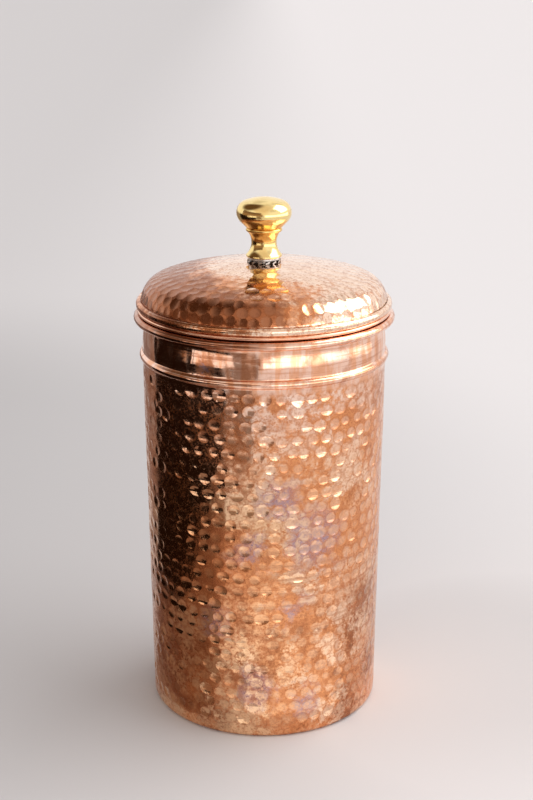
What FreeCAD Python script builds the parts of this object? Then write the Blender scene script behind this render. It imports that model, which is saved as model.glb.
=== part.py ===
# Lidded round copper canister: a hammered sheet wall with a wired rim, a lift-off
# domed lid with its own wired edge and locating collar, and a turned brass knob
# screwed on through the lid.
#
# Frame: millimetres, +Z up, origin at the centre of the ring that the foot rests on.
# Every round piece is a closed half section in its own body's XZ plane, revolved
# about the canister's axis. The sheet "Sizes" holds the driving dimensions.

import FreeCAD, Part

import math
import os

import Sketcher
from FreeCAD import Placement, Rotation, Vector

SIZES = {
    # canister wall
    "wall_gauge": 0.9,
    "foot_radius": 53.0,
    "foot_corner": 2.5,
    "foot_lip_radius": 44.0,
    "neck_radius": 55.1,
    "bead_height": 168.1,
    "bead_crest": 2.1,
    "bead_root": 0.6,
    "bead_angle": 61.2,
    "flare_angle": 12.0,
    "flare_bend": 6.0,
    "rim_radius": 56.85,
    "rim_height": 185.3,
    "rim_roll": 1.95,
    "rim_edge_angle": 232.0,
    "wire_gap": 0.05,
    # base pan, brazed in over the turned-in foot
    "pan_gauge": 0.9,
    "pan_gap": 0.15,
    "pan_height": 8.0,
    # lid dome
    "lid_gauge": 0.8,
    "lid_radius": 55.27,
    "lid_corner": 10.55,
    "crown_radius": 168.2,
    "crown_height": 209.5,
    "seat_radius": 8.5,
    "lid_hole_radius": 2.7,
    "lid_wire_space": 0.75,
    "lid_roll_flat": 0.6,
    "lid_edge_angle": 112.0,
    # collar under the lid
    "collar_gauge": 0.7,
    "collar_radius": 53.8,
    "collar_bottom": 173.0,
    "collar_bend": 1.2,
    "flange_bottom": 187.6,
    "hem_radius": 0.9,
    "hem_centre": 56.3,
    "hem_end": 54.6,
    # knob and what holds it
    "tooth_washer_gauge": 0.7,
    "tooth_washer_height": 1.4,
    "tooth_washer_radius": 7.5,
    "tooth_root_radius": 5.6,
    "tooth_width": 1.9,
    "tooth_twist": 23.5,
    "plain_washer_radius": 7.3,
    "plain_washer_gauge": 1.2,
    "washer_chamfer": 0.2,
    "bolt_clearance": 2.65,
    "knob_foot_radius": 8.05,
    "knob_foot_edge": 0.35,
    "knob_cove_bottom": 1.15,
    "knob_cove_top": 11.1,
    "knob_cove_radius": 7.6,
    "knob_cove_foot": 7.75,
    "knob_cove_head": 7.3,
    "knob_ring_radius": 1.0,
    "knob_ring_centre": 7.15,
    "knob_head_radius": 12.3,
    "knob_head_edge": 5.6,
    "knob_head_height": 19.7,
    "knob_height": 26.5,
    "knob_bore_radius": 2.5,
    "knob_bore_depth": 10.5,
    "inner_washer_radius": 6.5,
    "inner_washer_gauge": 1.1,
    "spring_washer_radius": 4.6,
    "spring_washer_bore": 2.6,
    "spring_washer_gauge": 1.2,
    "spring_washer_slit": 9.0,
    "screw_radius": 2.45,
    "screw_head_radius": 4.75,
    "screw_head_height": 3.0,
    "screw_head_edge": 1.4,
    "screw_length": 14.0,
    "screw_tip_chamfer": 0.6,
    "screw_slot_width": 1.2,
    "screw_slot_depth": 1.3,
}

TOOTH_COUNT = 14
TOOTH_OVERLAP = 0.4

EAST = (1.0, 0.0)
NORTH = (0.0, 1.0)
WEST = (-1.0, 0.0)
SOUTH = (0.0, -1.0)


# ---------------------------------------------------------------- sizes that carry their formula

class Size:
    """A length with the spreadsheet formula that gives it."""

    def __init__(self, value, formula):
        self.value = value
        self.formula = formula

    def __add__(self, other):
        other = as_size(other)
        return Size(self.value + other.value, "({} + {})".format(self.formula, other.formula))

    def __sub__(self, other):
        other = as_size(other)
        return Size(self.value - other.value, "({} - {})".format(self.formula, other.formula))

    def __mul__(self, other):
        other = as_size(other)
        return Size(self.value * other.value, "({} * {})".format(self.formula, other.formula))

    def __truediv__(self, other):
        other = as_size(other)
        return Size(self.value / other.value, "({} / {})".format(self.formula, other.formula))

    def __neg__(self):
        return as_size(0.0) - self

    __radd__ = __add__
    __rmul__ = __mul__

    def __rsub__(self, other):
        return as_size(other) - self


def as_size(number):
    """A plain number as a Size; a Size stays as it is."""
    if isinstance(number, Size):
        return number
    return Size(float(number), "({:.6f})".format(float(number)))


def size(alias):
    """The driving dimension that the sheet holds under this alias."""
    return Size(SIZES[alias], "Sizes.{}".format(alias))


def root(number):
    """Square root of a Size."""
    return Size(math.sqrt(number.value), "sqrt({})".format(number.formula))


def direction(angle):
    """Unit vector at this angle, in degrees from +X towards +Z."""
    turn = math.radians(angle.value)
    across = Size(math.cos(turn), "cos({})".format(angle.formula))
    up = Size(math.sin(turn), "sin({})".format(angle.formula))
    return (across, up)


def moved(point, way, distance):
    """The point moved by a distance along a unit vector."""
    return (as_size(point[0]) + distance * way[0], as_size(point[1]) + distance * way[1])


# ---------------------------------------------------------------- outlines

class Bend:
    """A round stretch of an outline: its centre, radius, two unit vectors and its sense."""

    def __init__(self, centre, radius, enters, leaves, turn):
        self.centre = centre
        self.radius = as_size(radius)
        self.enters = enters
        self.leaves = leaves
        self.turn = turn

    def first(self):
        return moved(self.centre, self.enters, self.radius)

    def last(self):
        return moved(self.centre, self.leaves, self.radius)

    def offset(self, distance):
        """The same bend on the other face of a sheet that lies to the right of the path."""
        wider = self.turn == "left"
        radius = self.radius + distance if wider else self.radius - distance
        return Bend(self.centre, radius, self.enters, self.leaves, self.turn)

    def reversed(self):
        turn = "right" if self.turn == "left" else "left"
        return Bend(self.centre, self.radius, self.leaves, self.enters, turn)


def bends_through(centre, radius, ways, turn):
    """Bends that share one centre and run through each unit vector in turn."""
    return [Bend(centre, radius, enters, leaves, turn) for enters, leaves in zip(ways, ways[1:])]


def sheet_section(start, start_right, bends, gauge, end=None, end_right=None):
    """Closed section of a bent sheet: one face along the path, the other a gauge away.

    start_right and end_right are the unit vectors from the path to the other face.
    A negative gauge puts the sheet on the left of the path.
    """
    path = [start] + list(bends)
    back = [bend.offset(gauge).reversed() for bend in reversed(bends)]
    if end is not None:
        path.append(end)
        back.insert(0, moved(end, end_right, gauge))
    back.append(moved(start, start_right, gauge))
    return path + back


def constrain_point(sketch, geometry, end, point):
    """Pin one end of a piece of sketch geometry at a point given by Sizes."""
    for axis, kind, coordinate in ((-2, "DistanceX", point[0]), (-1, "DistanceY", point[1])):
        if coordinate.value == 0.0:
            sketch.addConstraint(Sketcher.Constraint("PointOnObject", geometry, end, axis))
        else:
            index = sketch.addConstraint(
                Sketcher.Constraint(kind, -1, 1, geometry, end, coordinate.value))
            sketch.setExpression("Constraints[{}]".format(index), coordinate.formula)


def vector_of(point):
    return Vector(point[0].value, point[1].value, 0)


def add_line(sketch, first, last):
    line = sketch.addGeometry(Part.LineSegment(vector_of(first), vector_of(last)))
    return line, 1, 2


def add_arc(sketch, bend):
    """An arc with its radius bound; an arc's own ends always run anticlockwise."""
    centre = vector_of((as_size(bend.centre[0]), as_size(bend.centre[1])))
    first = vector_of(bend.first()) - centre
    last = vector_of(bend.last()) - centre
    leftward = bend.turn == "left"
    begin, finish = (first, last) if leftward else (last, first)
    angles = [math.atan2(begin.y, begin.x), math.atan2(finish.y, finish.x)]
    if angles[1] <= angles[0]:
        angles[1] += 2 * math.pi
    circle = Part.Circle(centre, Vector(0, 0, 1), bend.radius.value)
    arc = sketch.addGeometry(Part.ArcOfCircle(circle, angles[0], angles[1]))
    index = sketch.addConstraint(Sketcher.Constraint("Radius", arc, bend.radius.value))
    sketch.setExpression("Constraints[{}]".format(index), bend.radius.formula)
    return (arc, 1, 2) if leftward else (arc, 2, 1)


def draw_outline(sketch, stops):
    """Draw a closed outline through points and bends, joined by straight lines."""
    runs = []
    for place, stop in enumerate(stops):
        following = stops[(place + 1) % len(stops)]
        if isinstance(stop, Bend):
            runs.append((stop.first(), add_arc(sketch, stop)))
            here = stop.last()
        else:
            here = (as_size(stop[0]), as_size(stop[1]))
        if isinstance(following, Bend):
            there = following.first()
        else:
            there = (as_size(following[0]), as_size(following[1]))
        if (vector_of(there) - vector_of(here)).Length > 1e-6:
            runs.append((here, add_line(sketch, here, there)))
    for place, (point, (geometry, begin, finish)) in enumerate(runs):
        constrain_point(sketch, geometry, begin, point)
        next_geometry, next_begin, _ = runs[(place + 1) % len(runs)][1]
        sketch.addConstraint(
            Sketcher.Constraint("Coincident", geometry, finish, next_geometry, next_begin))


# ---------------------------------------------------------------- document helpers

def new_sheet(doc):
    sheet = doc.addObject("Spreadsheet::Sheet", "Sizes")
    for row, (alias, value) in enumerate(SIZES.items(), start=1):
        sheet.set("A{}".format(row), alias)
        sheet.set("B{}".format(row), str(value))
        sheet.setAlias("B{}".format(row), alias)
    return sheet


def new_body(doc, name):
    body = doc.addObject("PartDesign::Body", name)
    body.Label = name
    return body


def new_sketch(body, name, role):
    """A sketch on one of the body's own origin planes."""
    plane = [item for item in body.Origin.OriginFeatures if item.Role == role][0]
    sketch = body.newObject("Sketcher::SketchObject", name)
    sketch.AttachmentSupport = (plane, "")
    sketch.MapMode = "FlatFace"
    return sketch


def revolved_body(doc, name, stops, angle=None):
    """A body that is one closed half section revolved about the Z axis."""
    body = new_body(doc, name)
    sketch = new_sketch(body, name + "_section", "XZ_Plane")
    draw_outline(sketch, stops)
    revolution = body.newObject("PartDesign::Revolution", name + "_turned")
    revolution.Profile = sketch
    revolution.ReferenceAxis = (sketch, ["V_Axis"])
    revolution.Angle = 360
    if angle is not None:
        revolution.setExpression("Angle", angle.formula)
    return body


def wire_ring(doc, name, ring_radius, height, wire_radius):
    """A wire bent to a closed ring about the Z axis."""
    ring = doc.addObject("Part::Torus", name)
    ring.Label = name
    ring.setExpression("Radius1", ring_radius.formula)
    ring.setExpression("Radius2", wire_radius.formula)
    ring.setExpression(".Placement.Base.z", height.formula)
    return ring


# ---------------------------------------------------------------- canister

def make_body_wall(doc):
    """Wall sheet: turned-in foot, tapered wall, swaged bead, neck and wired rim.

    The path is the inner face, from the lip under the base pan to the free edge of the
    rolled rim; the sheet's other face is the outer one.
    """
    gauge = size("wall_gauge")
    inner_foot = size("foot_radius") - gauge
    inner_neck = size("neck_radius") - gauge
    foot_bend = size("foot_corner") - gauge
    foot_centre = (size("foot_radius") - size("foot_corner"), size("foot_corner"))
    foot = Bend(foot_centre, foot_bend, SOUTH, EAST, "left")

    # bead: a root bend, the crest and a root bend again, all tangent to one another
    across, up = direction(size("bead_angle"))
    span = size("bead_crest") + size("bead_root")
    root_radius = size("bead_root") + gauge
    root_x = size("neck_radius") + size("bead_root")
    crest_x = root_x - span * across
    rise = span * up
    low_root = Bend((root_x, size("bead_height") - rise), root_radius, WEST, (-across, up), "right")
    crest = Bend((crest_x, size("bead_height")), size("bead_crest") - gauge,
                 (across, -up), (across, up), "left")
    high_root = Bend((root_x, size("bead_height") + rise), root_radius, (-across, -up), WEST, "right")

    # the neck leans out, along the common tangent of its bend and the roll, into the rim
    lean_across, lean_up = direction(size("flare_angle"))
    left_of_lean = (-lean_across, lean_up)
    flare_x = inner_neck + size("flare_bend")
    drop = (size("flare_bend") - size("rim_roll") - (flare_x - size("rim_radius")) * lean_across)
    flare_z = size("rim_height") - drop / lean_up
    flare = Bend((flare_x, flare_z), size("flare_bend"), WEST, left_of_lean, "right")
    roll = Bend((size("rim_radius"), size("rim_height")), size("rim_roll"),
                left_of_lean, direction(size("rim_edge_angle")), "right")

    start = (size("foot_lip_radius"), gauge)
    section = sheet_section(start, SOUTH, [foot, low_root, crest, high_root, flare, roll], gauge)
    return revolved_body(doc, "body_wall", section)


def make_base_pan(doc):
    """Shallow pan that closes the foot; its flat rests on the wall's turned-in lip."""
    gauge = size("pan_gauge")
    floor = size("wall_gauge")
    outer = size("foot_radius") - size("wall_gauge") - size("pan_gap")
    bend_radius = size("foot_corner") - size("wall_gauge")
    corner = Bend((outer - bend_radius, floor + bend_radius), bend_radius, SOUTH, EAST, "left")
    section = sheet_section((0.0, floor), SOUTH, [corner], -gauge, (outer, size("pan_height")), EAST)
    return revolved_body(doc, "base_pan", section)


def make_rim_wire(doc):
    wire_radius = size("rim_roll") - size("wall_gauge") - size("wire_gap")
    return wire_ring(doc, "rim_wire", size("rim_radius"), size("rim_height"), wire_radius)


# ---------------------------------------------------------------- lid

def crown_centre_height():
    return size("crown_height") - size("crown_radius")


def seat_height():
    """Outer face of the small flat that is planished on the crown for the knob."""
    reach = root(size("crown_radius") * size("crown_radius") - size("seat_radius") * size("seat_radius"))
    return crown_centre_height() + reach


def flange_top():
    return size("flange_bottom") + size("hem_radius") * 2


def lid_roll_centre():
    """Centre of the lower half of the lid's roll, which sits on the collar's flange."""
    outward = size("lid_radius") + size("lid_wire_space")
    return (outward, flange_top() + size("lid_wire_space") + size("lid_gauge"))


def make_lid_dome(doc):
    """Domed sheet from the bolt hole to the free edge of its rolled, wired rim.

    The path is the outer face; the other face is the one inside the lid.
    """
    gauge = size("lid_gauge")
    crown = size("crown_radius")
    centre_x = size("lid_radius") - size("lid_corner")
    reach = crown - size("lid_corner")
    centre_rise = root(reach * reach - centre_x * centre_x)
    tangent = (centre_x / reach, centre_rise / reach)
    seat_way = (size("seat_radius") / crown, (seat_height() - crown_centre_height()) / crown)
    crown_bend = Bend((0.0, crown_centre_height()), crown, seat_way, tangent, "right")
    corner_centre = (centre_x, crown_centre_height() + centre_rise)
    corner = Bend(corner_centre, size("lid_corner"), tangent, EAST, "right")

    roll_x, roll_z = lid_roll_centre()
    wrap = size("lid_wire_space")
    under = bends_through((roll_x, roll_z), wrap, (WEST, SOUTH, EAST), "left")
    over = Bend((roll_x, roll_z + size("lid_roll_flat")), wrap, EAST,
                direction(size("lid_edge_angle")), "left")

    start = (size("lid_hole_radius"), seat_height())
    section = sheet_section(start, SOUTH, [crown_bend, corner] + under + [over], gauge)
    return revolved_body(doc, "lid_dome", section)


def make_lid_rim_wire(doc):
    roll_x, roll_z = lid_roll_centre()
    return wire_ring(doc, "lid_rim_wire", roll_x, roll_z, size("lid_wire_space") - size("wire_gap"))


def make_lid_collar(doc):
    """Sleeve that drops into the neck, with a hemmed flange that meets the rim."""
    bend_x = size("collar_radius") + size("collar_bend")
    shoulder = Bend((bend_x, size("flange_bottom") - size("collar_bend")),
                    size("collar_bend"), WEST, NORTH, "right")
    hem_centre = (size("hem_centre"), size("flange_bottom") + size("hem_radius"))
    hem = bends_through(hem_centre, size("hem_radius"), (SOUTH, EAST, NORTH), "left")
    start = (size("collar_radius"), size("collar_bottom"))
    end = (size("hem_end"), flange_top())
    section = sheet_section(start, EAST, [shoulder] + hem, -size("collar_gauge"), end, NORTH)
    return revolved_body(doc, "lid_collar", section)


# ---------------------------------------------------------------- knob and fixings

def plain_washer_bottom():
    return seat_height() + size("tooth_washer_height")


def knob_bottom():
    return plain_washer_bottom() + size("plain_washer_gauge")


def inner_washer_bottom():
    return seat_height() - size("lid_gauge") - size("inner_washer_gauge")


def spring_washer_bottom():
    return inner_washer_bottom() - size("spring_washer_gauge")


def make_knob(doc):
    """Turned brass knob: foot, cove, small ring, coned underside and flattened head."""
    base = knob_bottom()
    foot_radius = size("knob_foot_radius")
    edge = size("knob_foot_edge")
    foot_low = Bend((foot_radius - edge, base + edge), edge, SOUTH, EAST, "left")

    # cove: one concave arc between two given points
    low = (size("knob_cove_foot"), base + size("knob_cove_bottom"))
    high = (size("knob_cove_head"), base + size("knob_cove_top"))
    chord_x = high[0] - low[0]
    chord_z = high[1] - low[1]
    chord = root(chord_x * chord_x + chord_z * chord_z)
    radius = size("knob_cove_radius")
    stand_off = root(radius * radius - chord * chord / 4)
    cove_x = (low[0] + high[0]) / 2 + stand_off * chord_z / chord
    cove_z = (low[1] + high[1]) / 2 - stand_off * chord_x / chord
    cove = Bend((cove_x, cove_z), radius, ((low[0] - cove_x) / radius, (low[1] - cove_z) / radius),
                ((high[0] - cove_x) / radius, (high[1] - cove_z) / radius), "right")

    # ring: a half-round bead just above the cove
    ring_radius = size("knob_ring_radius")
    ring_centre = (size("knob_ring_centre"), high[1] + ring_radius)
    ring = bends_through(ring_centre, ring_radius, (SOUTH, EAST, NORTH), "left")

    # head: a 45 degree cone runs tangent into the edge, which runs tangent into the crown
    head_edge = size("knob_head_edge")
    edge_centre = (size("knob_head_radius") - head_edge, base + size("knob_head_height"))
    diagonal = root(as_size(0.5))
    cone_top = (diagonal, -diagonal)
    cone_end = moved(edge_centre, cone_top, head_edge)
    cone_start_z = ring_centre[1] + ring_radius
    cone_start = (cone_end[0] - (cone_end[1] - cone_start_z), cone_start_z)
    top = base + size("knob_height")
    drop = top - edge_centre[1]
    crown = ((drop * drop + edge_centre[0] * edge_centre[0] - head_edge * head_edge)
             / (drop * 2 - head_edge * 2))
    reach = crown - head_edge
    tangent = (edge_centre[0] / reach, (edge_centre[1] - (top - crown)) / reach)
    head = Bend(edge_centre, head_edge, cone_top, tangent, "left")
    crown_bend = Bend((0.0, top - crown), crown, tangent, NORTH, "left")

    # threaded hole from below, drawn at the thread's outside size, with a drill point
    bore = size("knob_bore_radius")
    bore_top = base + size("knob_bore_depth")
    foot = [(bore, base), foot_low, (foot_radius, low[1] - edge)]
    hole = [(0.0, bore_top + bore / 2), (bore, bore_top)]
    stops = foot + [cove] + ring + [cone_start, head, crown_bend] + hole
    return revolved_body(doc, "knob", stops)


def make_plain_washer(doc):
    """Plain washer under the knob's foot, with both outer edges chamfered."""
    low = plain_washer_bottom()
    high = knob_bottom()
    outer = size("plain_washer_radius")
    edge = size("washer_chamfer")
    bore = size("bolt_clearance")
    stops = [(bore, low), (outer - edge, low), (outer, low + edge), (outer, high - edge),
             (outer - edge, high), (bore, high)]
    return revolved_body(doc, "plain_washer", stops)


def make_tooth_washer(doc):
    """Lock washer with twisted outer teeth, between the crown's flat and the plain washer."""
    middle = seat_height() + size("tooth_washer_height") / 2
    low = middle - size("tooth_washer_gauge") / 2
    disc = doc.addObject("Part::Cylinder", "tooth_washer_disc")
    hole = doc.addObject("Part::Cylinder", "tooth_washer_hole")
    for item, radius in ((disc, size("tooth_root_radius")), (hole, size("bolt_clearance"))):
        item.setExpression("Radius", radius.formula)
        item.setExpression("Height", size("tooth_washer_gauge").formula)
        item.setExpression(".Placement.Base.z", low.formula)
    ring = doc.addObject("Part::Cut", "tooth_washer_ring")
    ring.Base = disc
    ring.Tool = hole

    # a tooth lies along a radius and is twisted about it
    pieces = [ring]
    inner = size("tooth_root_radius") - TOOTH_OVERLAP
    for count in range(TOOTH_COUNT):
        tooth = doc.addObject("Part::Box", "tooth_{:02d}".format(count + 1))
        tooth.setExpression("Length", (size("tooth_washer_radius") - inner).formula)
        tooth.setExpression("Width", size("tooth_width").formula)
        tooth.setExpression("Height", size("tooth_washer_gauge").formula)
        around = Rotation(Vector(0, 0, 1), 360.0 * count / TOOTH_COUNT)
        twist = Rotation(Vector(1, 0, 0), SIZES["tooth_twist"])
        corner = Vector(inner.value, 0, middle.value) + twist.multVec(
            Vector(0, -SIZES["tooth_width"] / 2, -SIZES["tooth_washer_gauge"] / 2))
        tooth.Placement = Placement(around.multVec(corner), around.multiply(twist))
        pieces.append(tooth)
    washer = doc.addObject("Part::MultiFuse", "tooth_washer")
    washer.Shapes = pieces
    washer.Label = "tooth_washer"
    return washer


def make_inner_washer(doc):
    """Plain washer that bears on the inside of the crown."""
    low = inner_washer_bottom()
    high = seat_height() - size("lid_gauge")
    outer = size("inner_washer_radius")
    edge = size("washer_chamfer")
    bore = size("bolt_clearance")
    stops = [(bore, low), (outer - edge, low), (outer, low + edge), (outer, high), (bore, high)]
    return revolved_body(doc, "inner_washer", stops)


def make_spring_washer(doc):
    """Split washer under the screw head; the slit is the angle that isn't revolved."""
    low = spring_washer_bottom()
    high = inner_washer_bottom()
    outer = size("spring_washer_radius")
    bore = size("spring_washer_bore")
    stops = [(bore, low), (outer, low), (outer, high), (bore, high)]
    return revolved_body(doc, "spring_washer", stops, 360 - size("spring_washer_slit"))


def make_knob_screw(doc):
    """Slotted pan-head screw that comes up through the lid into the knob."""
    seat = spring_washer_bottom()
    head = size("screw_head_radius")
    head_low = seat - size("screw_head_height")
    edge = size("screw_head_edge")
    shank = size("screw_radius")
    tip = seat + size("screw_length")
    chamfer = size("screw_tip_chamfer")
    rounding = Bend((head - edge, head_low + edge), edge, SOUTH, EAST, "left")
    stops = [(0.0, head_low), rounding, (head, seat), (shank, seat), (shank, tip - chamfer),
             (shank - chamfer, tip), (0.0, tip)]
    body = revolved_body(doc, "knob_screw", stops)
    doc.recompute()
    whole = body.Shape.Volume

    # the driver slot is a rectangle on the XY plane, lifted to the head's flat end
    sketch = new_sketch(body, "knob_screw_slot_outline", "XY_Plane")
    sketch.setExpression(".AttachmentOffset.Base.z", head_low.formula)
    half = size("screw_slot_width") / 2
    rectangle = [(-head, -half), (head, -half), (head, half), (-head, half)]
    draw_outline(sketch, rectangle)
    slot = body.newObject("PartDesign::Pocket", "knob_screw_slot")
    slot.Profile = sketch
    slot.setExpression("Length", size("screw_slot_depth").formula)
    slot.Reversed = True
    doc.recompute()
    if body.Shape.Volume >= whole:
        raise SystemExit("the driver slot cuts nothing")
    return body


# ---------------------------------------------------------------- check and write

def check_and_write(doc, nodes):
    doc.recompute()
    for item in doc.Objects:
        if "Invalid" in item.State or "Error" in item.State:
            raise SystemExit("{} failed: {}".format(item.Name, item.State))
    for node in nodes:
        if node.Shape.isNull() or not node.Shape.isValid():
            raise SystemExit("{} has no valid shape".format(node.Label))
    os.makedirs("parts", exist_ok=True)
    for node in nodes:
        node.Shape.exportStep("parts/{}.step".format(node.Label))
        box = node.Shape.BoundBox
        print("{:14s} solids {} volume {:9.1f} mm3  radius {:6.2f}  z {:7.2f} to {:7.2f}".format(
            node.Label, len(node.Shape.Solids), node.Shape.Volume, box.XMax, box.ZMin, box.ZMax))


def main():
    doc = FreeCAD.newDocument("copper_canister")
    new_sheet(doc)
    doc.recompute()
    makers = [make_body_wall, make_base_pan, make_rim_wire, make_lid_dome, make_lid_rim_wire,
              make_lid_collar, make_knob, make_plain_washer, make_tooth_washer,
              make_inner_washer, make_spring_washer, make_knob_screw]
    check_and_write(doc, [make(doc) for make in makers])


main()
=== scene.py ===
import math

import bpy
import numpy as np
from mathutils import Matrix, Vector


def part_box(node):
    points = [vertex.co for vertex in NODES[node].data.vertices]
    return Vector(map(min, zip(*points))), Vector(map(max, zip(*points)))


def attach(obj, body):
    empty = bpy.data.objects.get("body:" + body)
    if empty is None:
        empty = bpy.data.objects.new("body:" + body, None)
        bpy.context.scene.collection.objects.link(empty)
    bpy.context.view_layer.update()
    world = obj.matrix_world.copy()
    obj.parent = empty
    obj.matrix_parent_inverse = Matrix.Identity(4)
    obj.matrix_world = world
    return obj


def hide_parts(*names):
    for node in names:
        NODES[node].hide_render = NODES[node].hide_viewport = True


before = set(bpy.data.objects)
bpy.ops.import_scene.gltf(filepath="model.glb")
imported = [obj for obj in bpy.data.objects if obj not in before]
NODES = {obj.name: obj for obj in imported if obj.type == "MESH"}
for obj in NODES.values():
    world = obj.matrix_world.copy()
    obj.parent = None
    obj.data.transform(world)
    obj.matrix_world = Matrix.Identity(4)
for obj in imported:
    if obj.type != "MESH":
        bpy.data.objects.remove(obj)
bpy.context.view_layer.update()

# Lidded hammered copper canister. Metres, +Z up, origin at the centre of the foot.
# The wall and the dome are rebuilt here as closed sheets with every hammer blow in the
# mesh, and the collar as a finer turned sheet; the knob, pan, wires, washers and screw are
# the CAD nodes.

MM = 0.001

# ------------------------------------------------------------------ sizes

_, WALL_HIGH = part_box("body_wall")
DOME_LOW, DOME_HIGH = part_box("lid_dome")

# canister wall, the same sheet as the CAD node it stands for
RIM_OUTER = WALL_HIGH[0]
RIM_TOP = WALL_HIGH[2]
WALL_GAUGE = 0.9 * MM
FOOT_RADIUS = 53.0 * MM
FOOT_CORNER = 2.5 * MM
FOOT_LIP_RADIUS = 44.0 * MM
NECK_RADIUS = 55.1 * MM
BEAD_HEIGHT = 168.1 * MM
BEAD_CREST = 2.1 * MM
BEAD_ROOT = 0.6 * MM
BEAD_ANGLE = 61.2
FLARE_ANGLE = 12.0
FLARE_BEND = 6.0 * MM
RIM_ROLL = 1.95 * MM
RIM_EDGE_ANGLE = 232.0
RIM_RADIUS = RIM_OUTER - RIM_ROLL
RIM_HEIGHT = RIM_TOP - RIM_ROLL

# lid dome
LID_GAUGE = 0.8 * MM
LID_ROLL_SPACE = 0.75 * MM
LID_ROLL = LID_ROLL_SPACE + LID_GAUGE
LID_ROLL_FLAT = 0.6 * MM
LID_EDGE_ANGLE = 112.0
LID_RADIUS = DOME_HIGH[0] - LID_ROLL - LID_ROLL_SPACE
LID_CORNER = 10.55 * MM
CROWN_RADIUS = 168.2 * MM
SEAT_RADIUS = 8.5 * MM
SEAT_HEIGHT = DOME_HIGH[2]
LID_HOLE = 2.7 * MM

# the neck draws in a little below the rim
NECK_LEAN = 0.50 * MM
NECK_ROWS = 18
NECK_LEAN_LOW = 174.5 * MM
NECK_LEAN_HIGH = 181.5 * MM

# collar under the lid
COLLAR_LOW, COLLAR_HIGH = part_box("lid_collar")
COLLAR_GAUGE = 0.7 * MM
COLLAR_RADIUS = 53.8 * MM
COLLAR_BEND = 1.2 * MM
HEM_RADIUS = 0.9 * MM
HEM_END = 54.6 * MM
COLLAR_COLUMNS = 360

# hammer blows on the wall
WALL_COLUMNS = 400
WALL_ROWS = 186
BLOW_ROWS = 25
BLOWS_AROUND = 51
BLOW_LOW = 9.0 * MM
BLOW_HIGH = 161.5 * MM
BLOW_RADIUS = 2.65 * MM
BLOW_DEPTH = 0.31 * MM
BLOW_REACH = 1.35
PITCH_SCATTER = 0.07
ROW_SCATTER = 0.27 * MM
ROW_WAVE = 0.5 * MM
ROW_RIPPLE = 0.25 * MM
SIZE_SPREAD = 0.09
DEPTH_SPREAD = 0.33
MISSED_BLOWS = 0.05
STRAY_BLOWS = 420

# a stain on the neck, at the front left
STAIN_PLACE = (-25.0 * MM, -49.0 * MM, 174.0 * MM)

# hammer blows on the lid
LID_COLUMNS = 400
LID_CELL = 0.75 * MM
LID_BLOW_RADIUS = 2.95 * MM
LID_BLOW_DEPTH = 0.23 * MM
LID_BLOW_PITCH = 6.1 * MM
FLANK_CLOSER = 0.16
CROWN_WIDER = 0.18
CROWN_FAINTER = 0.55

# folds that are drawn as edges, in degrees: on the blows, and on the rest of a sheet
CREASE_ANGLE = 5.0
FOLD_ANGLE = 40.0


# ------------------------------------------------------------------ outlines

def arc(centre, radius, first, last, steps):
    """Points along an arc in the (radius, height) plane, angles in degrees."""
    turn = np.radians(np.linspace(first, last, steps + 1))
    return np.column_stack([centre[0] + radius * np.cos(turn), centre[1] + radius * np.sin(turn)])


def line(first, last, steps):
    """Points along a straight run, both ends included."""
    share = np.linspace(0.0, 1.0, steps + 1)[:, None]
    return np.array(first) * (1 - share) + np.array(last) * share


def join(runs):
    """One outline from runs of points, without repeated points; also each run's first row."""
    points = [np.asarray(runs[0], dtype=float)]
    starts = [0]
    count = len(points[0])
    for run in runs[1:]:
        run = np.asarray(run, dtype=float)
        if np.linalg.norm(run[0] - points[-1][-1]) < 1e-7:
            run = run[1:]
            starts.append(count - 1)
        else:
            starts.append(count)
        points.append(run)
        count += len(run)
    return np.vstack(points), starts


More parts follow.
